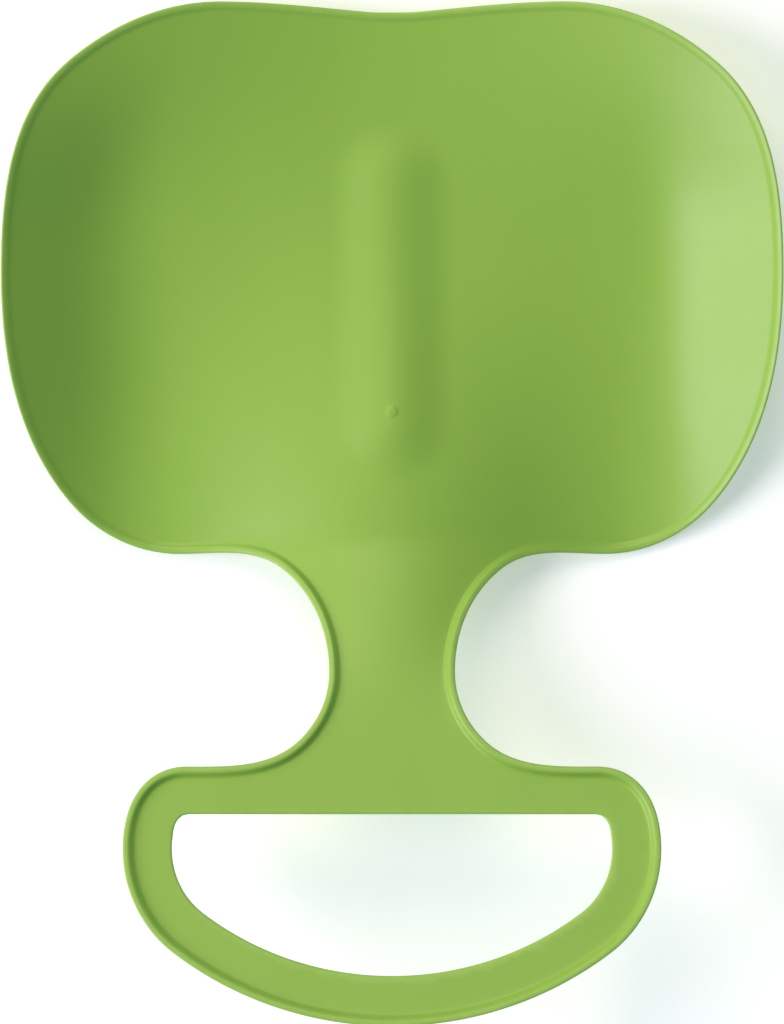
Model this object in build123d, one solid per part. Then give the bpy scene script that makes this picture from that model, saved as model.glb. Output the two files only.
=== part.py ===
from build123d import *
import math
import os

# Leaf grabber hand: one injection moulding, lying on its back with the hollow side up.
# X runs across the hand, +Y towards the scooping lip, +Z up. The hand is symmetric about X = 0.
# The origin is the middle of the bounding box, on the surface that the hand rests on.

# ---- driving dimensions, mm and degrees ----
dish_width = 306.0            # across the two palm lobes at their widest
dish_length = 216.5           # lip to the heel of the lobes
neck_length = 82.8            # heel of the lobes to the shoulders of the grip
neck_width = 49.2             # narrowest width of the neck
grip_width = 210.0            # across the D-shaped grip
grip_length = 100.7           # shoulders of the grip to its far end
top_bar = 18.6                # plate left between the neck side and the hand opening
side_post = 19.2              # plate beside the hand opening
grip_bar = 19.4               # bar that the fingers close on
opening_corner = 6.2          # corner radius of the hand opening
wall = 2.6                    # thickness of the moulded sheet
bead_width = 3.3              # width of the raised rim
flank_bead_width = 2.5        # the rim in plan where the flanks are steep
bead_height = 2.4             # rim above the sheet
opening_round = 0.9           # rounding of the hand opening's upper edge
lip_dip = 4.2                 # how far the lip dips at the middle
basin_offset = 95.0           # lowest line of each lobe's basin from the centre line
saddle_height = 21.5          # centre line above the basins at the heel
flank_angle = 34.5            # steepness of the flanks half way along the dish, degrees
flank_bend = 58.0             # width over which the basins bend up into the flanks
lip_bowl = 32.0               # how much more the lip's ends rise than its middle
lip_lift = 8.0                # rise of the lip's middle above the basins
flat_basin = 86.0             # length of basin that rests on the ground
ridge_length = 144.0          # raised rib along the centre line
ridge_half_width = 24.0
ridge_height = 3.2
ridge_to_crease = 21.2        # crease to the near end of the rib
heel_to_crease = 5.3          # heel of the lobes to the crease where the neck plate starts
crease_blend = 5.0            # half length of the rounded crease
neck_dish = 22.0              # length of neck past the crease that keeps the dish's cross-section
neck_fade = 58.0              # length over which it then runs out into the flat plate
handle_rise = 14.0            # angle of the neck and grip plate to the ground, degrees
gate_radius = 2.2             # mark left by the injection gate
gate_height = 0.4
gate_to_crease = 50.5

# ---- how the dish's cross-section changes, as shares of its length or of basin_offset ----
saddle_start = -0.187         # the saddle runs out from here, on the neck, almost to the lip
saddle_run = 0.983
bowl_start = 0.52             # the flanks turn into the lip's shallow bowl from here
bowl_run = 0.52
heel_run = 0.42               # the flanks reach their full steepness this far from the heel
heel_flatter = 0.25           # how much flatter they are at the heel itself
flank_start = 0.86            # foot of the flanks, as a share of basin_offset
bowl_widening = 0.17          # how much nearer the centre line it lies at the lip
plate_half_share = 0.6        # half width that stays flat past the crease, per neck_width

# ---- working values for the modelling, mm ----
clearance = 10.0              # how far cutting shapes reach past the hand
face_margin = 8.0             # how far the free-form faces reach past the outline
face_pitch = 7.0              # spacing of the points that they pass through
face_tolerance = 0.03
slope_step = 0.01             # distance over which the sheet's slope is measured
search_steps = 40             # steps each way in the search for the sheet's lowest point

# ---- places worked out from them ----
overall_length = dish_length + neck_length + grip_length
lip_y = overall_length / 2
heel_y = lip_y - dish_length
shoulder_y = heel_y - neck_length
grip_end_y = -overall_length / 2
crease_y = heel_y + heel_to_crease
flat_y = crease_y - neck_dish - neck_fade
half_dish = dish_width / 2
half_neck = neck_width / 2
half_grip = grip_width / 2
slope = math.tan(math.radians(handle_rise))
tallest = wall + saddle_height + slope * (crease_y - grip_end_y) + lip_bowl


# ---- outlines: stations (x, y, heading in degrees) joined by arc-like curves ----
def dish_stations():
    """Right-hand side of the dish, from the middle of the lip to the heel."""
    return [
        (0, lip_y - lip_dip, 0),
        (0.07 * half_dish, lip_y - 0.93 * lip_dip, 5.5),
        (0.44 * half_dish, lip_y, 0),
        (0.83 * half_dish, lip_y - 0.11 * dish_length, -41),
        (half_dish, lip_y - 0.49 * dish_length, -90),
        (0.827 * half_dish, heel_y + 0.095 * dish_length, -130),
        (0.545 * half_dish, heel_y, 180),
    ]


def neck_stations():
    """Right-hand side of the neck, from the heel of the dish to the shoulder of the grip."""
    notch = 0.545 * half_dish - half_neck
    return [
        (half_neck + 0.32 * notch, heel_y - 0.065 * neck_length, -143),
        (half_neck, heel_y - 0.555 * neck_length, -90),
        (half_neck + 0.21 * notch, shoulder_y + 0.115 * neck_length, -42),
        (half_grip - 0.235 * half_grip, shoulder_y, 0),
    ]


def grip_stations():
    """Right-hand side of the grip, from below its shoulder to the middle of its far end."""
    return [
        (0.917 * half_grip, shoulder_y - 0.063 * grip_length, -45),
        (half_grip, shoulder_y - 0.317 * grip_length, -90),
        (0.811 * half_grip, grip_end_y + 0.281 * grip_length, -143),
        (0, grip_end_y, 180),
    ]


def inset(station, distance):
    """Move a station inwards, square to its heading."""
    x, y, heading = station
    turn = math.radians(heading)
    return (x + distance * math.sin(turn), y - distance * math.cos(turn), heading)


def joined(start, end):
    """Curve between two stations, close to a circular arc where the turn allows it."""
    chord = math.hypot(end[0] - start[0], end[1] - start[1])
    turn = abs((end[2] - start[2] + 180) % 360 - 180)
    half_turn = math.radians(max(turn, 1.0)) / 2
    reach = chord * (2 / 3) * math.tan(half_turn / 2) / math.sin(half_turn)
    controls = []
    for station, side in ((start, 1), (end, -1)):
        heading = math.radians(station[2])
        x = station[0] + side * reach * math.cos(heading)
        y = station[1] + side * reach * math.sin(heading)
        controls.append((x, y))
    return Bezier(start[:2], controls[0], controls[1], end[:2])


def mirrored_face(edges):
    """Face inside a right-hand half outline and its mirror image."""
    half = Curve() + edges
    whole = half.edges() + mirror(half, about=Plane.YZ).edges()
    return make_face(whole).face()


def outline(dish_inset=0.0, rim_inset=0.0):
    """Plan outline of the hand, or a line inside it."""
    stations = []
    for station in dish_stations():
        on_flank = station[2] not in (0, 5.5, 180)
        stations.append(inset(station, dish_inset if on_flank else rim_inset))
    for station in neck_stations() + grip_stations():
        stations.append(inset(station, rim_inset))
    edges = [joined(a, b) for a, b in zip(stations, stations[1:])]
    return mirrored_face(edges)


def hand_opening():
    """Plan outline of the D-shaped opening, a bar's width inside the grip's outline."""
    side = inset(grip_stations()[1], side_post)
    quarter = inset(grip_stations()[2], (side_post + grip_bar) / 2)
    end = inset(grip_stations()[3], grip_bar)
    top = shoulder_y - top_bar
    corner = (side[0] - opening_corner, top, 0)
    corner_end = (side[0] - 0.1 * opening_corner, top - opening_corner, -82)
    edges = [
        Line((0, top), corner[:2]),
        joined(corner, corner_end),
        joined(corner_end, side),
        joined(side, quarter),
        joined(quarter, end),
    ]
    return mirrored_face(edges)


# ---- sheet: height of the hollow side above the ground ----
def ease(t):
    """Smooth step from 0 to 1."""
    t = min(max(t, 0.0), 1.0)
    return t ** 3 * (10 - 15 * t + 6 * t * t)


def ramp(distance):
    """Distance past the crease, rounded at the crease itself."""
    if distance < -crease_blend:
        return 0.0
    if distance > crease_blend:
        return distance
    return (distance + crease_blend) ** 2 / (4 * crease_blend)


def ridge(x, y):
    """Rib along the centre line, with round ends."""
    near_end = crease_y + ridge_to_crease + ridge_half_width
    far_end = crease_y + ridge_to_crease + ridge_length - ridge_half_width
    past = max(0.0, near_end - y, y - far_end)
    away = min(math.hypot(x, past), ridge_half_width)
    return ridge_height * (1 + math.cos(math.pi * away / ridge_half_width)) / 2


def ease_sum(t):
    """Area under the smooth step from 0 to t."""
    if t < 0:
        return 0.0
    if t > 1:
        return t - 0.5
    return t ** 4 * (2.5 - 3 * t + t * t)


def along_dish(y, start, length):
    """Smooth step along the dish, from a start to a length on, both as shares of its length."""
    return ease((y - heel_y - start * dish_length) / (length * dish_length))


def saddle(y):
    """Height of the centre line above the basins, which runs out towards the lip."""
    return saddle_height * (1 - along_dish(y, saddle_start, saddle_run))


def flank(u, y):
    """Rise of the flanks, which turn into a wide shallow bowl towards the lip."""
    bowl = along_dish(y, bowl_start, bowl_run)
    heel = 1 - along_dish(y, 0, heel_run)
    steepness = math.tan(math.radians(flank_angle)) * (1 - heel_flatter * heel) * (1 - bowl)
    start = basin_offset * (flank_start - bowl_widening * bowl)
    rise = steepness * flank_bend * ease_sum((u - start) / flank_bend)
    return rise + bowl * lip_bowl * (u / half_dish) ** 2


def dish_rise(x, y):
    """Rise of the dish and the upper neck, before the sheet is lowered to the ground."""
    u = abs(x)
    past_crease = crease_y - y
    dish_share = 1 - ease((past_crease - neck_dish) / neck_fade)
    basin = (1 - math.cos(math.pi * min(u / basin_offset, 1.0))) / 2
    resting_end = crease_y + flat_basin
    lift = lip_lift * (max(0.0, y - resting_end) / (lip_y - resting_end)) ** 2
    flat_half = plate_half_share * neck_width
    centre = 1 - ease((u - flat_half) / (basin_offset - flat_half))
    plate_share = centre + (1 - centre) * (1 - dish_share)
    rise = lift + saddle(y) + slope * ramp(past_crease) * plate_share
    return rise + dish_share * (flank(u, y) - saddle(y) * basin) + ridge(x, y)


def lowest_rise():
    """Rise at the lowest point of a basin, which rests on the ground."""
    rises = []
    for i in range(search_steps + 1):
        x = basin_offset * (0.6 + 0.5 * i / search_steps)
        for j in range(search_steps + 1):
            rises.append(dish_rise(x, heel_y + dish_length * j / search_steps))
    return min(rises)


ground_rise = lowest_rise()
plate_height = wall + saddle_height - ground_rise


def sheet_height(x, y):
    """Upper face of the sheet over the dish and the upper neck."""
    return wall + dish_rise(x, y) - ground_rise


def raised_height(x, y, offset):
    """Height of a surface parallel to the sheet's upper face, at a distance square to it."""
    step = slope_step
    dx = (sheet_height(x + step, y) - sheet_height(x - step, y)) / (2 * step)
    dy = (sheet_height(x, y + step) - sheet_height(x, y - step)) / (2 * step)
    return sheet_height(x, y) + offset * math.sqrt(1 + dx * dx + dy * dy)


def dish_face(offset):
    """Free-form face parallel to the dish and the upper neck, past their outline on every side."""
    reach = half_dish + face_margin
    start = flat_y - face_margin
    length = lip_y + face_margin - start
    columns = 2 * math.ceil(reach / face_pitch)
    rows = math.ceil(length / face_pitch)
    grid = []
    for i in range(columns + 1):
        x = reach * (2 * i / columns - 1)
        line = []
        for j in range(rows + 1):
            y = start + length * j / rows
            line.append(Vector(x, y, raised_height(x, y, offset)))
        grid.append(line)
    return Face.make_surface_from_array_of_points(grid, tol=face_tolerance, min_deg=3, max_deg=3)


def plate_face(offset):
    """Flat face parallel to the lower neck and the grip, past their outline on every side."""
    lift = plate_height + offset * math.hypot(1, slope)
    x = half_grip + face_margin
    top = flat_y + face_margin
    end = grip_end_y - face_margin
    corners = []
    for corner in ((-x, top), (x, top), (x, end), (-x, end)):
        corners.append(Vector(*corner, lift + slope * (crease_y - corner[1])))
    return Face(Wire.make_polygon(corners))


# ---- solids ----
def upright(face):
    """Prism on a plan outline, taller than the hand."""
    return extrude(Pos(0, 0, -clearance) * face, tallest + 2 * clearance)


def between(lower, upper, prism):
    """Part of a prism between two faces that span it."""
    down = Vector(0, 0, -tallest - 2 * clearance)
    return (prism & Solid.extrude(upper, down)) - Solid.extrude(lower, down)


def opening_edges(grip):
    """Edges where the sheet's upper face meets the hand opening."""
    level = Plane(plate_face(0))
    shared = [edge for edge in grip.edges() if abs(level.to_local_coords(edge.center()).Z) < 0.01]
    inside = half_grip - side_post + 0.5
    return [edge for edge in shared if edge.bounding_box().max.X < inside and edge.center().Y < shoulder_y]


def gate_mark():
    """Small round stub that the injection gate leaves on the rib."""
    y = crease_y + gate_to_crease
    stub = Cylinder(gate_radius, wall + gate_height, align=(Align.CENTER, Align.CENTER, Align.MAX))
    return Pos(0, y, sheet_height(0, y) + gate_height) * stub


def leaf_hand():
    """The whole moulding: dish, neck and grip in one piece, with a raised rim all round."""
    reach = overall_length + dish_width
    dish_side = Pos(0, flat_y + reach / 2, 0) * Box(reach, reach, reach)
    body = upright(outline())
    inside = upright(outline(flank_bead_width, bead_width))
    dish = between(dish_face(-wall), dish_face(bead_height), body & dish_side)
    dish -= between(dish_face(0), dish_face(2 * bead_height), inside & dish_side)
    grip = between(plate_face(-wall), plate_face(bead_height), body - dish_side)
    grip -= between(plate_face(0), plate_face(2 * bead_height), inside - dish_side)
    grip -= upright(hand_opening())
    grip = fillet(opening_edges(grip), opening_round)
    return dish + grip + gate_mark()


hand = leaf_hand()
hand.label = "leaf_hand"
hand.color = Color(0.60, 0.74, 0.33)
os.makedirs("parts", exist_ok=True)
export_step(hand, "parts/leaf_hand.step")
print("leaf_hand", hand.is_valid, len(hand.solids()), hand.bounding_box())
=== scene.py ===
"""Leaf grabber hand: one green polypropylene moulding, hollow side up, on a pale studio floor."""

import logging
import math
from dataclasses import dataclass, field
from enum import Enum
from functools import cached_property

import bmesh
import bpy
import numpy as np
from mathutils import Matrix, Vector, geometry


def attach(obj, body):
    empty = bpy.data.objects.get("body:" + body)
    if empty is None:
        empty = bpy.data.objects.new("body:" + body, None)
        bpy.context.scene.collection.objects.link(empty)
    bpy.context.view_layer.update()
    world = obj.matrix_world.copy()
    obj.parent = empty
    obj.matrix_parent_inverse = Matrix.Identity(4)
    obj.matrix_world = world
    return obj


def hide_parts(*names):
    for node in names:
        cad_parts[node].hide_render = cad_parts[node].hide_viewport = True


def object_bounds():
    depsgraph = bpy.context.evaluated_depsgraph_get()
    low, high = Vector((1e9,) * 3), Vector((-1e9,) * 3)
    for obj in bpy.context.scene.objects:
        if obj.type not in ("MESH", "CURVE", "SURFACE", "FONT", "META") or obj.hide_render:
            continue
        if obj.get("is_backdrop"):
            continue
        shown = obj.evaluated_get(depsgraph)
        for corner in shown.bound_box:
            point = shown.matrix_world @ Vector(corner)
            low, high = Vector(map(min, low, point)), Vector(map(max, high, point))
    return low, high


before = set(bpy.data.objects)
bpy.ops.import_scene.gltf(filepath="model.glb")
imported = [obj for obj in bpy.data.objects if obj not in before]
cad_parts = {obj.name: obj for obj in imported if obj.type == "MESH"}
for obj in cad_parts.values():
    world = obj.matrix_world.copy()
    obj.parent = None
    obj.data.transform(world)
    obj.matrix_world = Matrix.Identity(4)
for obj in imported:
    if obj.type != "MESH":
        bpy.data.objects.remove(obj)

log = logging.getLogger("leaf_hand")
MM = 0.001
PAINTED_HIGHLIGHT = "painted_highlight"
Loop = np.ndarray
Station = tuple[float, float, float]
Colour = tuple[float, float, float]


def hex_to_linear(code: str) -> tuple[float, float, float, float]:
    """Turn an sRGB hex colour into linear light.

    Args:
        code: Six hex digits with a leading hash.

    Returns:
        Linear red, green, blue and an alpha of 1.
    """
    values = [int(code[i : i + 2], 16) / 255 for i in (1, 3, 5)]
    linear = [v / 12.92 if v <= 0.04045 else ((v + 0.055) / 1.055) ** 2.4 for v in values]
    return (linear[0], linear[1], linear[2], 1.0)


def add_node(
    tree: bpy.types.NodeTree,
    kind: str,
    settings: dict[str, object] | None = None,
    sockets: dict[str | int, object] | None = None,
) -> bpy.types.Node:
    """Add a node with its settings, and set or link its input sockets.

    Args:
        tree: Node tree that gets the node.
        kind: Blender's type name of the node.
        settings: Node properties by name.
        sockets: Input sockets by name or number, each with a value or an output socket to link from.

    Returns:
        The new node.
    """
    node = tree.nodes.new(kind)
    for name, value in (settings or {}).items():
        setattr(node, name, value)
    for name, value in (sockets or {}).items():
        if isinstance(value, bpy.types.NodeSocket):
            tree.links.new(value, node.inputs[name])
        else:
            node.inputs[name].default_value = value
    return node


def ease(t: np.ndarray | float) -> np.ndarray:
    """Step smoothly from 0 to 1."""
    t = np.clip(t, 0.0, 1.0)
    return t**3 * (10 - 15 * t + 6 * t * t)


def ease_sum(t: np.ndarray | float) -> np.ndarray:
    """Give the area under the smooth step from 0 to t."""
    inside = np.clip(t, 0.0, 1.0)
    return inside**4 * (2.5 - 3 * inside + inside * inside) + np.maximum(0.0, t - 1.0)


class Side(Enum):
    """The two faces of the moulded sheet."""

    HOLLOW = "hollow"
    BACK = "back"


@dataclass(frozen=True)
class HandSizes:
    """Driving sizes of the moulding, in millimetres and degrees."""

    dish_width: float = 306.0
    dish_length: float = 216.5
    neck_length: float = 82.8
    neck_width: float = 49.2
    grip_width: float = 210.0
    grip_length: float = 100.7
    top_bar: float = 18.6
    side_post: float = 19.2
    grip_bar: float = 19.4
    opening_corner: float = 6.2
    wall: float = 2.6
    lip_dip: float = 4.2
    basin_offset: float = 95.0
    saddle_height: float = 21.5
    flank_angle: float = 34.5
    flank_bend: float = 58.0
    lip_bowl: float = 32.0
    lip_lift: float = 8.0
    flat_basin: float = 86.0
    ridge_length: float = 144.0
    ridge_half_width: float = 24.0
    ridge_height: float = 3.2
    ridge_to_crease: float = 21.2
    heel_to_crease: float = 5.3
    crease_blend: float = 4.0
    neck_dish: float = 22.0
    neck_fade: float = 58.0
    handle_rise: float = 14.0
    gate_radius: float = 2.2
    gate_height: float = 0.28
    gate_to_crease: float = 50.5
    # How the dish's cross-section changes, as shares of its length or of basin_offset.
    saddle_start: float = -0.187
    saddle_run: float = 0.983
    bowl_start: float = 0.52
    bowl_run: float = 0.52
    heel_run: float = 0.42
    heel_flatter: float = 0.25
    flank_start: float = 0.86
    bowl_widening: float = 0.17
    plate_half_share: float = 0.6

    @property
    def lip_y(self) -> float:
        """Far edge of the dish."""
        return (self.dish_length + self.neck_length + self.grip_length) / 2

    @property
    def heel_y(self) -> float:
        """Near edge of the dish's lobes."""
        return self.lip_y - self.dish_length

    @property
    def shoulder_y(self) -> float:
        """Edge where the grip's loop starts."""
        return self.heel_y - self.neck_length

    @property
    def end_y(self) -> float:
        """Far end of the grip."""
        return self.shoulder_y - self.grip_length

    @property
    def crease_y(self) -> float:
        """Line where the neck plate meets the dish."""
        return self.heel_y + self.heel_to_crease


@dataclass(frozen=True)
class Outline:
    """Plan outline of the hand and of its opening, from stations of x, y and heading."""

    sizes: HandSizes
    pitch: float = 2.2

    def edge_stations(self) -> list[Station]:
        """List the right-hand half of the outer edge, from the middle of the lip to the grip's end.

        Returns:
            Stations of x, y and heading, placed as shares of the sizes around them.
        """
        s = self.sizes
        half = s.dish_width / 2
        neck = s.neck_width / 2
        grip = s.grip_width / 2
        notch = 0.545 * half - neck
        return [
            (0, s.lip_y - s.lip_dip, 0),
            (0.07 * half, s.lip_y - 0.93 * s.lip_dip, 5.5),
            (0.44 * half, s.lip_y, 0),
            (0.83 * half, s.lip_y - 0.11 * s.dish_length, -41),
            (half, s.lip_y - 0.49 * s.dish_length, -90),
            (0.827 * half, s.heel_y + 0.095 * s.dish_length, -130),
            (0.545 * half, s.heel_y, 180),
            (neck + 0.32 * notch, s.heel_y - 0.065 * s.neck_length, -143),
            (neck, s.heel_y - 0.555 * s.neck_length, -90),
            (neck + 0.21 * notch, s.shoulder_y + 0.115 * s.neck_length, -42),
            (0.765 * grip, s.shoulder_y, 0),
            (0.917 * grip, s.shoulder_y - 0.063 * s.grip_length, -45),
            (grip, s.shoulder_y - 0.317 * s.grip_length, -90),
            (0.811 * grip, s.end_y + 0.281 * s.grip_length, -143),
            (0, s.end_y, 180),
        ]

    @staticmethod
    def inset(station: Station, distance: float) -> Station:
        """Move a station inwards, square to its heading."""
        turn = math.radians(station[2])
        return (station[0] + distance * math.sin(turn), station[1] - distance * math.cos(turn), station[2])

    def arc(self, start: Station, end: Station) -> Loop:
        """Sample the curve between two stations, close to a circular arc.

        Args:
            start: Station that the curve leaves.
            end: Station that it reaches.

        Returns:
            Points from start up to, but not including, end.
        """
        a = np.array(start[:2], float)
        b = np.array(end[:2], float)
        chord = float(np.linalg.norm(b - a))
        turn = abs((end[2] - start[2] + 180) % 360 - 180)
        half_turn = math.radians(max(turn, 1.0)) / 2
        reach = chord * (2 / 3) * math.tan(half_turn / 2) / math.sin(half_turn)
        leave = np.array([math.cos(math.radians(start[2])), math.sin(math.radians(start[2]))])
        arrive = np.array([math.cos(math.radians(end[2])), math.sin(math.radians(end[2]))])
        t = np.arange(0, 1, 1 / max(2, round(chord / self.pitch)))[:, None]
        first = (1 - t) ** 3 * a + 3 * (1 - t) ** 2 * t * (a + reach * leave)
        return first + 3 * (1 - t) * t * t * (b - reach * arrive) + t**3 * b

    def closed(self, stations: list[Station]) -> Loop:
        """Close a right-hand half, from one point on the centre line to another, with its mirror image.

        Args:
            stations: Stations of the half.

        Returns:
            Points all round, clockwise.
        """
        half = [self.arc(a, b) for a, b in zip(stations, stations[1:])]
        right = np.vstack([*half, [stations[-1][:2]]])
        left = right[-2:0:-1] * (-1, 1)
        return np.vstack([right, left])

    def edge(self) -> Loop:
        """Give the outer edge's points."""
        return self.closed(self.edge_stations())

    def opening(self) -> Loop:
        """Give the D-shaped opening, a bar's width inside the grip's outline.

        Returns:
            Points all round, clockwise.
        """
        s = self.sizes
        side, quarter, end = self.edge_stations()[-3:]
        side = self.inset(side, s.side_post)
        quarter = self.inset(quarter, (s.side_post + s.grip_bar) / 2)
        end = self.inset(end, s.grip_bar)
        top = s.shoulder_y - s.top_bar
        corner = (side[0] - s.opening_corner, top, 0)
        corner_end = (side[0] - 0.1 * s.opening_corner, top - s.opening_corner, -82)
        return self.closed([(0, top, 0), corner, corner_end, side, quarter, end])


@dataclass(frozen=True)
class Sheet:
    """Height of the moulded sheet's hollow side above the ground."""

    sizes: HandSizes
    search_points: int = 41
    slope_step: float = 0.05

    def ridge(self, x: np.ndarray, y: np.ndarray) -> np.ndarray:
        """Give the rise of the rib along the centre line, with round ends.

        Args:
            x: Distances across the hand.
            y: Distances along it.

        Returns:
            Rises in millimetres.
        """
        s = self.sizes
        near = s.crease_y + s.ridge_to_crease + s.ridge_half_width
        far = near + s.ridge_length - 2 * s.ridge_half_width
        away = np.hypot(x, np.maximum(0, np.maximum(near - y, y - far)))
        return s.ridge_height * (1 + np.cos(np.pi * np.minimum(away / s.ridge_half_width, 1))) / 2

    def along_dish(self, y: np.ndarray, start: float, length: float) -> np.ndarray:
        """Step smoothly along the dish, from a start to a length on, both as shares of its length."""
        s = self.sizes
        return ease((y - s.heel_y - start * s.dish_length) / (length * s.dish_length))

    def saddle(self, y: np.ndarray) -> np.ndarray:
        """Give the centre line's height above the basins, which runs out towards the lip."""
        s = self.sizes
        return s.saddle_height * (1 - self.along_dish(y, s.saddle_start, s.saddle_run))

    def flank(self, u: np.ndarray, y: np.ndarray) -> np.ndarray:
        """Give the flanks' rise, which turns into a wide shallow bowl towards the lip.

        Args:
            u: Distances from the centre line.
            y: Distances along the hand.

        Returns:
            Rises in millimetres.
        """
        s = self.sizes
        bowl = self.along_dish(y, s.bowl_start, s.bowl_run)
        heel = 1 - self.along_dish(y, 0.0, s.heel_run)
        steepness = math.tan(math.radians(s.flank_angle)) * (1 - s.heel_flatter * heel) * (1 - bowl)
        start = s.basin_offset * (s.flank_start - s.bowl_widening * bowl)
        rise = steepness * s.flank_bend * ease_sum((u - start) / s.flank_bend)
        return rise + bowl * s.lip_bowl * (2 * u / s.dish_width) ** 2

    def gate(self, x: np.ndarray, y: np.ndarray) -> np.ndarray:
        """Give the rise of the injection gate's mark on the rib.

        Args:
            x: Distances across the hand.
            y: Distances along it.

        Returns:
            Rises in millimetres, with a soft shoulder round the mark.
        """
        s = self.sizes
        away = np.hypot(x, y - s.crease_y - s.gate_to_crease)
        return s.gate_height * (1 - ease((away - 0.7 * s.gate_radius) / (0.4 * s.gate_radius)))

    @cached_property
    def ground_rise(self) -> float:
        """Find the rise at the lowest point of a basin, which rests on the ground.

        Returns:
            The rise in millimetres.
        """
        s = self.sizes
        across = s.basin_offset * np.linspace(0.6, 1.1, self.search_points)
        along = np.linspace(s.heel_y, s.lip_y, self.search_points)
        x, y = np.meshgrid(across, along)
        return float(np.min(self.rise(x, y)))

    def height(self, x: np.ndarray, y: np.ndarray) -> np.ndarray:
        """Give the height of the hollow side above the ground."""
        return self.sizes.wall + self.rise(x, y) - self.ground_rise

    def rise(self, x: np.ndarray, y: np.ndarray) -> np.ndarray:
        """Give the rise of the hollow side, before the sheet is lowered to the ground.

        Args:
            x: Distances across the hand.
            y: Distances along it.

        Returns:
            Rises in millimetres.
        """
        s = self.sizes
        u = np.abs(x)
        past = s.crease_y - y
        blend = s.crease_blend
        ramp = np.where(past > blend, past, np.clip(past + blend, 0, 2 * blend) ** 2 / (4 * blend))
        dish = 1 - ease((past - s.neck_dish) / s.neck_fade)
        saddle = self.saddle(y)
        basin = (1 - np.cos(np.pi * np.minimum(u / s.basin_offset, 1))) / 2
        resting = s.crease_y + s.flat_basin
        lift = s.lip_lift * (np.maximum(0, y - resting) / (s.lip_y - resting)) ** 2
        flat_half = s.plate_half_share * s.neck_width
        centre = 1 - ease((u - flat_half) / (s.basin_offset - flat_half))
        plate = centre + (1 - centre) * (1 - dish)
        rise = math.tan(math.radians(s.handle_rise)) * ramp * plate
        details = self.ridge(x, y) + self.gate(x, y)
        return lift + saddle + rise + dish * (self.flank(u, y) - saddle * basin) + details

    def raised(self, plan: Loop, offset: np.ndarray | float) -> np.ndarray:
        """Lift plan points to a face parallel to the hollow side.

        Args:
            plan: Points in plan.
            offset: Distance of each from the hollow side, square to it.

        Returns:
            Points in space.
        """
        x, y = plan[:, 0], plan[:, 1]
        step = self.slope_step
        dx = (self.height(x + step, y) - self.height(x - step, y)) / (2 * step)
        dy = (self.height(x, y + step) - self.height(x, y - step)) / (2 * step)
        z = self.height(x, y) + offset * np.sqrt(1 + dx * dx + dy * dy)
        return np.column_stack([x, y, z])


@dataclass(frozen=True)
class Rim:
    """Raised rim along the outer edge: a rounded crest that falls softly to the sheet.

    The rim is low and soft round the dish, and taller round the neck and the grip.
    """

    sizes: HandSizes
    dish_crest: float = 1.5
    dish_height: float = 0.7
    dish_fall: float = 3.0
    grip_crest: float = 1.6
    grip_height: float = 2.35
    grip_fall: float = 3.3
    dish_round: float = 1.0
    grip_round: float = 0.75
    back_round: float = 0.7
    change_start: float = 12.0
    change_run: float = 30.0
    wall_levels: tuple[float, ...] = (0.35, 0.7)
    fall_steps: tuple[float, ...] = (0.0, 0.12, 0.24, 0.36, 0.48, 0.6, 0.72, 0.85, 1.0)

    def rings(self, edge: Loop) -> list[tuple[Loop, np.ndarray, float]]:
        """Lay the rim's cross-section round the edge.

        Args:
            edge: Points of the outer edge.

        Returns:
            For each ring its plan points, its distances from the hollow side and the weight of its painted
            highlight.
        """
        s = self.sizes
        ahead = np.roll(edge, -1, axis=0) - np.roll(edge, 1, axis=0)
        ahead /= np.linalg.norm(ahead, axis=1)[:, None]
        inward = np.column_stack([ahead[:, 1], -ahead[:, 0]])
        share = ease((s.heel_y + self.change_start - edge[:, 1]) / self.change_run)
        crest = self.dish_crest + (self.grip_crest - self.dish_crest) * share
        height = self.dish_height + (self.grip_height - self.dish_height) * share
        fall = self.dish_fall + (self.grip_fall - self.dish_fall) * share
        r = self.dish_round + (self.grip_round - self.dish_round) * share
        low = self.back_round
        # The third value of each ring weights the painted highlight, highest on the rounded crest and fading
        # down the fall.
        found = []
        for turn in np.radians([0, 30, 60, 90]):
            depth = low * (1 - math.cos(turn)) - s.wall
            found.append((low * (1 - math.sin(turn)) + 0 * r, depth + 0 * r, 0.4))
        for level in self.wall_levels:
            found.append((0 * r, -s.wall + low + level * (s.wall + height - r - low), 0.2))
        for turn in np.radians([0, 18, 36, 54, 72, 90]):
            found.append((r * (1 - math.cos(turn)), height - r * (1 - math.sin(turn)), 1.0))
        for t in self.fall_steps:
            found.append((crest + fall * t, height * (1 - ease(t)), 0.8 * (1 - t) ** 2))
        return [(edge + inward * d[:, None], h, e) for d, h, e in found]


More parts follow.
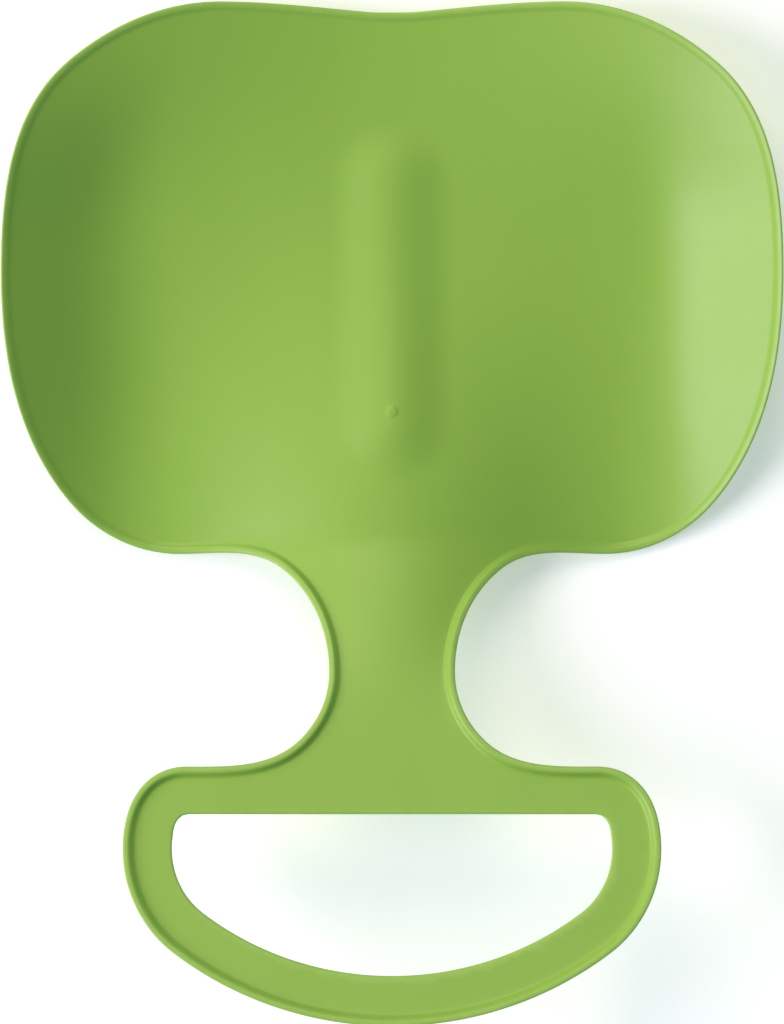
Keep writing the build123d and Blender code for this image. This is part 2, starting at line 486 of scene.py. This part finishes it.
@dataclass(frozen=True)
class MouldedPolypropylene:
    """Injection-moulded polypropylene, pigmented leaf green, from a finely spark-eroded mould.

    The eroded mould leaves a fine even grain, so the plastic shows broad soft highlights and no
    sharp reflections. Pattern sizes are in millimetres.
    """

    base: str = "#93B945"
    shade: str = "#8EB441"
    # Paler green painted on the rim tops and the opening's edges as a highlight.
    highlight_colour: str = "#A2C45C"
    roughness: float = 0.41
    duller: float = 0.04
    shinier: float = 0.03
    index: float = 1.49
    cloud_size: float = 30.0
    cloud_stretch: float = 0.45
    scuff_and_highlight_size: float = 6.0
    grain: float = 0.9
    grain_depth: float = 0.045
    grain_strength: float = 0.35

    def pigment(self, tree: bpy.types.NodeTree, place: bpy.types.NodeSocket) -> bpy.types.NodeSocket:
        """Mix the two greens in the streaks that the melt's flow leaves.

        Args:
            tree: The material's node tree.
            place: Position on the object.

        Returns:
            Colour of the unworn plastic.
        """
        # Broad, barely visible clouds a few centimetres long, drawn out along the hand.
        stretch = (1.0, self.cloud_stretch, 1.0)
        flow = add_node(tree, "ShaderNodeMapping", sockets={"Vector": place, "Scale": stretch})
        clouds = add_node(
            tree,
            "ShaderNodeTexNoise",
            sockets={
                "Vector": flow.outputs["Vector"],
                "Scale": 1 / (self.cloud_size * MM),
                "Detail": 3.0,
                "Roughness": 0.5,
            },
        )
        tint = add_node(
            tree,
            "ShaderNodeMix",
            {"data_type": "RGBA"},
            {"Factor": clouds.outputs["Fac"], "A": hex_to_linear(self.base), "B": hex_to_linear(self.shade)},
        )
        return tint.outputs["Result"]

    def relief(self, tree: bpy.types.NodeTree, place: bpy.types.NodeSocket) -> bpy.types.NodeSocket:
        """Raise the mould's grain.

        Args:
            tree: The material's node tree.
            place: Position on the object.

        Returns:
            Surface normal with the grain.
        """
        # Spark-eroded grain is about 0.1 mm on the real hand; drawn coarser here so that it shows.
        grain = add_node(
            tree,
            "ShaderNodeTexNoise",
            sockets={"Vector": place, "Scale": 1 / (self.grain * MM), "Detail": 2.0, "Roughness": 0.6},
        )
        bump = add_node(
            tree,
            "ShaderNodeBump",
            sockets={
                "Height": grain.outputs["Fac"],
                "Strength": self.grain_strength,
                "Distance": self.grain_depth * MM,
            },
        )
        return bump.outputs["Normal"]

    def material(self) -> bpy.types.Material:
        """Make the plastic's material.

        Returns:
            Material with a fine matt grain, cloudy pigment and paler crests.
        """
        made = bpy.data.materials.new("moulded_polypropylene")
        made.use_nodes = True
        tree = made.node_tree
        tree.nodes.clear()
        place = add_node(tree, "ShaderNodeTexCoord").outputs["Object"]
        # Painted highlight: a paler green is mixed in where the per-vertex weight is high, on the rim tops
        # and the opening's edges, mottled by the same noise that varies the roughness.
        highlight_mask = add_node(tree, "ShaderNodeAttribute", {"attribute_name": PAINTED_HIGHLIGHT}).outputs["Fac"]
        scuff_and_highlight_noise = add_node(
            tree,
            "ShaderNodeTexNoise",
            sockets={"Vector": place, "Scale": 1 / (self.scuff_and_highlight_size * MM), "Detail": 4.0},
        ).outputs["Fac"]
        highlight_amount = add_node(tree, "ShaderNodeMath", {"operation": "MULTIPLY"}, {0: highlight_mask, 1: scuff_and_highlight_noise})
        colour = add_node(
            tree,
            "ShaderNodeMix",
            {"data_type": "RGBA"},
            {
                "Factor": highlight_amount.outputs["Value"],
                "A": self.pigment(tree, place),
                # Colour of the painted highlight.
                "B": hex_to_linear(self.highlight_colour),
            },
        )
        gloss = add_node(
            tree,
            "ShaderNodeMapRange",
            sockets={
                "Value": scuff_and_highlight_noise,
                "To Min": self.roughness - self.shinier,
                "To Max": self.roughness + self.duller,
            },
        )
        skin = add_node(
            tree,
            "ShaderNodeBsdfPrincipled",
            sockets={
                "Base Color": colour.outputs["Result"],
                "Roughness": gloss.outputs["Result"],
                "IOR": self.index,
                "Metallic": 0.0,
                "Normal": self.relief(tree, place),
            },
        )
        add_node(tree, "ShaderNodeOutputMaterial", sockets={"Surface": skin.outputs["BSDF"]})
        return made


@dataclass
class LeafHand:
    """The whole moulding: dish, neck and D-shaped grip in one piece."""

    sizes: HandSizes
    finish: MouldedPolypropylene
    body: str = "root"
    slot: str = "green_polypropylene"
    node: str = "leaf_hand"
    name: str = "leaf_hand_moulding"
    pitch: float = 2.6
    edge_gap: float = 0.55
    gate_clearance: float = 1.6
    gate_rings: tuple[tuple[float, int], ...] = ((0.4, 8), (0.72, 16), (0.9, 16), (1.12, 16), (1.45, 16))
    opening_round: float = 0.9
    opening_back_round: float = 0.6
    points: list[np.ndarray] = field(default_factory=list)
    faces: list[tuple[int, ...]] = field(default_factory=list)
    painted_highlight: list[np.ndarray] = field(default_factory=list)

    def add_ring(self, points: np.ndarray, highlight_weight: float) -> np.ndarray:
        """Add a ring of vertices.

        Args:
            points: Points in space.
            highlight_weight: How exposed the ring is to rubbing, from 0 to 1.

        Returns:
            highlight_weight: Weight of the painted highlight on the ring, from 0 to 1.
        """
        first = sum(len(p) for p in self.points)
        self.points.append(points)
        self.painted_highlight.append(np.full(len(points), highlight_weight))
        return np.arange(first, first + len(points))

    def add_strip(self, lower: np.ndarray, upper: np.ndarray) -> None:
        """Join two rings of equal length with quads.

        Args:
            lower: Vertex indices of one ring.
            upper: Vertex indices of the next.
        """
        for a, b, c, d in zip(lower, np.roll(lower, -1), np.roll(upper, -1), upper):
            self.faces.append((int(a), int(b), int(c), int(d)))

    @staticmethod
    def inside(points: Loop, loop: Loop) -> np.ndarray:
        """Tell which points lie inside a closed loop.

        Args:
            points: Points in plan.
            loop: The loop's points in order.

        Returns:
            One truth value for each point.
        """
        x, y = points[:, 0][:, None], points[:, 1][:, None]
        x0, y0 = loop[:, 0], loop[:, 1]
        x1, y1 = np.roll(x0, -1), np.roll(y0, -1)
        spans = (y0 > y) != (y1 > y)
        run = np.where(y1 == y0, 1.0, y1 - y0)
        return (np.count_nonzero(spans & (x < (x1 - x0) * (y - y0) / run + x0), axis=1) % 2) == 1

    def field_points(self, loops: list[Loop]) -> Loop:
        """Spread points over the sheet between its outer loop and its opening.

        Args:
            loops: The outer loop and the opening's loop.

        Returns:
            Points in plan, clear of both loops.
        """
        s = self.sizes
        half_count = math.ceil(s.dish_width / 2 / self.pitch)
        columns = np.arange(-half_count, half_count + 1)
        rows = np.arange(s.end_y, s.lip_y, self.pitch)
        grid = np.array([(c * self.pitch, y) for y in rows for c in columns])
        gate = np.array([0.0, s.crease_y + s.gate_to_crease])
        grid = grid[np.linalg.norm(grid - gate, axis=1) > self.gate_clearance * s.gate_radius]
        marks = [gate[None, :]]
        for share, count in self.gate_rings:
            turns = np.linspace(0, 2 * math.pi, count, endpoint=False)
            circle = np.column_stack([np.cos(turns), np.sin(turns)])
            marks.append(gate + share * s.gate_radius * circle)
        grid = np.vstack([grid, *marks])
        keep = self.inside(grid, loops[0]) & ~self.inside(grid, loops[1])
        for loop in loops:
            gap = np.min(np.linalg.norm(grid[:, None, :] - loop[None, :, :], axis=2), axis=1)
            keep &= gap > self.edge_gap * self.pitch
        return grid[keep]

    def add_field(self, sheet: Sheet, side: Side, rings: list[tuple[np.ndarray, Loop]]) -> None:
        """Fill one face of the sheet between its outer ring and its opening's ring.

        Args:
            sheet: Heights of the sheet.
            side: Which face to fill.
            rings: Vertex indices and plan points of the two rings.
        """
        loops = [plan for _, plan in rings]
        inner = self.field_points(loops)
        offset = 0.0 if side is Side.HOLLOW else -self.sizes.wall
        index = np.concatenate([*(ids for ids, _ in rings), self.add_ring(sheet.raised(inner, offset), 0.0)])
        plan = np.vstack([*loops, inner])
        edges = []
        first = 0
        for loop in loops:
            count = len(loop)
            edges += [(first + i, first + (i + 1) % count) for i in range(count)]
            first += count
        found = geometry.delaunay_2d_cdt([Vector(p) for p in plan], edges, [], 0, 1e-6)
        if len(found[0]) != len(plan):
            raise ValueError(f"the {side.value} face has crossing edges")
        triangles = np.array(found[2])
        middles = plan[triangles].mean(axis=1)
        keep = self.inside(middles, loops[0]) & ~self.inside(middles, loops[1])
        self.faces += [tuple(int(v) for v in index[t]) for t in triangles[keep]]

    def build(self) -> bpy.types.Object:
        """Build the moulding's mesh.

        Returns:
            The finished object, not yet dressed.
        """
        outline = Outline(self.sizes)
        sheet = Sheet(self.sizes)
        rings = []
        plans = []
        for plan, offset, highlight_weight in Rim(self.sizes).rings(outline.edge()):
            rings.append(self.add_ring(sheet.raised(plan, offset), highlight_weight))
            plans.append(plan)
        for lower, upper in zip(rings, rings[1:]):
            self.add_strip(lower, upper)
        hole, hole_plans = self.add_opening(sheet, outline.opening())
        self.add_field(sheet, Side.BACK, [(rings[0], plans[0]), (hole[0], hole_plans[0])])
        self.add_field(sheet, Side.HOLLOW, [(rings[-1], plans[-1]), (hole[-1], hole_plans[-1])])
        return self.finished_mesh()

    def add_opening(self, sheet: Sheet, loop: Loop) -> tuple[list[np.ndarray], list[Loop]]:
        """Build the opening's wall with rounded edges.

        Args:
            sheet: Heights of the sheet.
            loop: The opening's outline.

        Returns:
            Vertex indices and plan points of each ring, from the back to the hollow side.
        """
        ahead = np.roll(loop, -1, axis=0) - np.roll(loop, 1, axis=0)
        ahead /= np.linalg.norm(ahead, axis=1)[:, None]
        outward = np.column_stack([-ahead[:, 1], ahead[:, 0]])
        low, high = self.opening_back_round, self.opening_round
        steps = []
        for turn in np.radians([0, 30, 60, 90]):
            steps.append((low * (1 - math.sin(turn)), low * (1 - math.cos(turn)) - self.sizes.wall, 0.4))
        for turn in np.radians([0, 22, 45, 67, 90]):
            steps.append((high * (1 - math.cos(turn)), -high * (1 - math.sin(turn)), 0.9))
        rings = []
        plans = []
        for distance, offset, highlight_weight in steps:
            plan = loop + outward * distance
            plans.append(plan)
            rings.append(self.add_ring(sheet.raised(plan, offset), highlight_weight))
        for lower, upper in zip(rings, rings[1:]):
            self.add_strip(lower, upper)
        return rings, plans

    def finished_mesh(self) -> bpy.types.Object:
        """Turn the collected vertices and faces into one closed, smooth mesh object.

        Returns:
            The object, linked to the scene.
        """
        mesh = bpy.data.meshes.new(self.name)
        mesh.from_pydata((np.vstack(self.points) * MM).tolist(), [], self.faces)
        # Per-vertex weight of the painted highlight, read by the material.
        layer = mesh.attributes.new(PAINTED_HIGHLIGHT, "FLOAT", "POINT")
        layer.data.foreach_set("value", np.concatenate(self.painted_highlight).astype(np.float32))
        shaped = bmesh.new()
        shaped.from_mesh(mesh)
        bmesh.ops.recalc_face_normals(shaped, faces=shaped.faces)
        # Pairs of triangles within 0.6 and 0.7 radians of flat and of square become quads.
        bmesh.ops.join_triangles(
            shaped, faces=shaped.faces, angle_face_threshold=0.6, angle_shape_threshold=0.7
        )
        for face in shaped.faces:
            face.smooth = True
        shaped.to_mesh(mesh)
        shaped.free()
        made = bpy.data.objects.new(self.name, mesh)
        bpy.context.scene.collection.objects.link(made)
        return made

    def dress(self, piece: bpy.types.Object) -> None:
        """Give the moulding its plastic and its place in the frame.

        Args:
            piece: The moulding's object.
        """
        piece.data.materials.append(self.finish.material())
        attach(piece, self.body)
        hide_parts(self.node)


@dataclass(frozen=True)
class StudioPaper:
    """Seamless matt background paper, coated nearly white, which keeps shadows pale and soft."""

    colour: str = "#F4F4F2"
    roughness: float = 0.9
    glow: float = 0.34
    glow_colour: Colour = (1.0, 0.95, 0.90)

    def material(self) -> bpy.types.Material:
        """Make the paper's material.

        Returns:
            Matt material with a faint glow, which stands for the light behind the paper.
        """
        paper = bpy.data.materials.new("studio_paper")
        paper.use_nodes = True
        skin = paper.node_tree.nodes["Principled BSDF"]
        skin.inputs["Base Color"].default_value = hex_to_linear(self.colour)
        skin.inputs["Roughness"].default_value = self.roughness
        skin.inputs["Emission Color"].default_value = (*self.glow_colour, 1.0)
        skin.inputs["Emission Strength"].default_value = self.glow
        return paper


@dataclass(frozen=True)
class SoftLight:
    """Large round soft light that faces the hand, with its bearing from the left towards the top."""

    name: str
    power: float
    zenith: float
    turn: float
    colour: Colour
    size: float = 2.8
    distance: float = 4.0

    def hang(self) -> None:
        """Hang the light."""
        data = bpy.data.lights.new(self.name, "AREA")
        data.shape = "DISK"
        data.size = self.size
        data.energy = self.power
        data.color = self.colour
        across = math.sin(math.radians(self.zenith))
        up = math.cos(math.radians(self.zenith))
        bearing = math.radians(self.turn)
        towards = Vector((-across * math.cos(bearing), across * math.sin(bearing), up))
        light = bpy.data.objects.new(self.name, data)
        light.location = towards * self.distance
        light.rotation_euler = towards.to_track_quat("Z", "Y").to_euler()
        bpy.context.scene.collection.objects.link(light)


@dataclass(frozen=True)
class Studio:
    """Pale floor, soft light and a camera looking straight down, in metres."""

    paper: StudioPaper = StudioPaper()
    floor_half: float = 6.0
    floor_cells: int = 8
    lights: tuple[SoftLight, ...] = (
        SoftLight("key_light", 137.0, 58.0, -8.0, (0.97, 0.90, 1.00)),
        SoftLight("top_light", 76.0, 45.0, 74.0, (0.94, 0.80, 0.55)),
    )
    fill: float = 0.385
    fill_colour: Colour = (0.50, 0.81, 1.0)
    distance: float = 8.0
    frame_height: float = 0.400
    sensor_height: float = 24.0
    far_clip: float = 50.0

    def build_floor(self) -> bpy.types.Object:
        """Make a floor that runs far past the hand.

        Returns:
            The floor, marked as staging.
        """
        mesh = bpy.data.meshes.new("studio_floor")
        shaped = bmesh.new()
        cells = self.floor_cells
        bmesh.ops.create_grid(shaped, x_segments=cells, y_segments=cells, size=self.floor_half)
        shaped.to_mesh(mesh)
        shaped.free()
        floor = bpy.data.objects.new("studio_floor", mesh)
        bpy.context.scene.collection.objects.link(floor)
        mesh.materials.append(self.paper.material())
        floor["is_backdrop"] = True
        return floor

    def build_lights(self) -> None:
        """Light the hand from the left, with a light towards the top and an even fill all round."""
        for light in self.lights:
            light.hang()
        world = bpy.data.worlds.new("studio_world")
        world.use_nodes = True
        sky = world.node_tree.nodes["Background"]
        sky.inputs["Color"].default_value = (*self.fill_colour, 1.0)
        sky.inputs["Strength"].default_value = self.fill
        bpy.context.scene.world = world

    def build_camera(self, low: Vector, high: Vector) -> None:
        """Set a long lens straight above the middle of the hand.

        Args:
            low: Lowest corner of the hand's box.
            high: Highest corner of the hand's box.
        """
        data = bpy.data.cameras.new("camera")
        data.sensor_fit = "VERTICAL"
        data.sensor_height = self.sensor_height
        data.lens = data.sensor_height * self.distance / self.frame_height
        data.clip_end = self.far_clip
        camera = bpy.data.objects.new("camera", data)
        middle = (low + high) / 2
        camera.location = (middle.x, middle.y, middle.z + self.distance)
        bpy.context.scene.collection.objects.link(camera)
        bpy.context.scene.camera = camera
        bpy.context.scene.view_settings.view_transform = "Standard"


def plain(corners: tuple) -> list[list[float]]:
    """Give a box's corners as plain lists of numbers."""
    return [[float(v) for v in corner] for corner in corners]


def main() -> None:
    """Build the hand and the studio, and report each piece."""
    logging.basicConfig(level=logging.INFO, format="%(name)s: %(message)s")
    cad_box = plain(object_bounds())
    sizes = HandSizes()
    hand = LeafHand(sizes, MouldedPolypropylene())
    piece = hand.build()
    hand.dress(piece)
    log.info("%s: %d vertices, %d faces", piece.name, len(piece.data.vertices), len(piece.data.polygons))
    studio = Studio()
    floor = studio.build_floor()
    log.info("%s", floor.name)
    studio.build_lights()
    studio.build_camera(Vector(cad_box[0]), Vector(cad_box[1]))


if __name__ == "__main__":
    main()
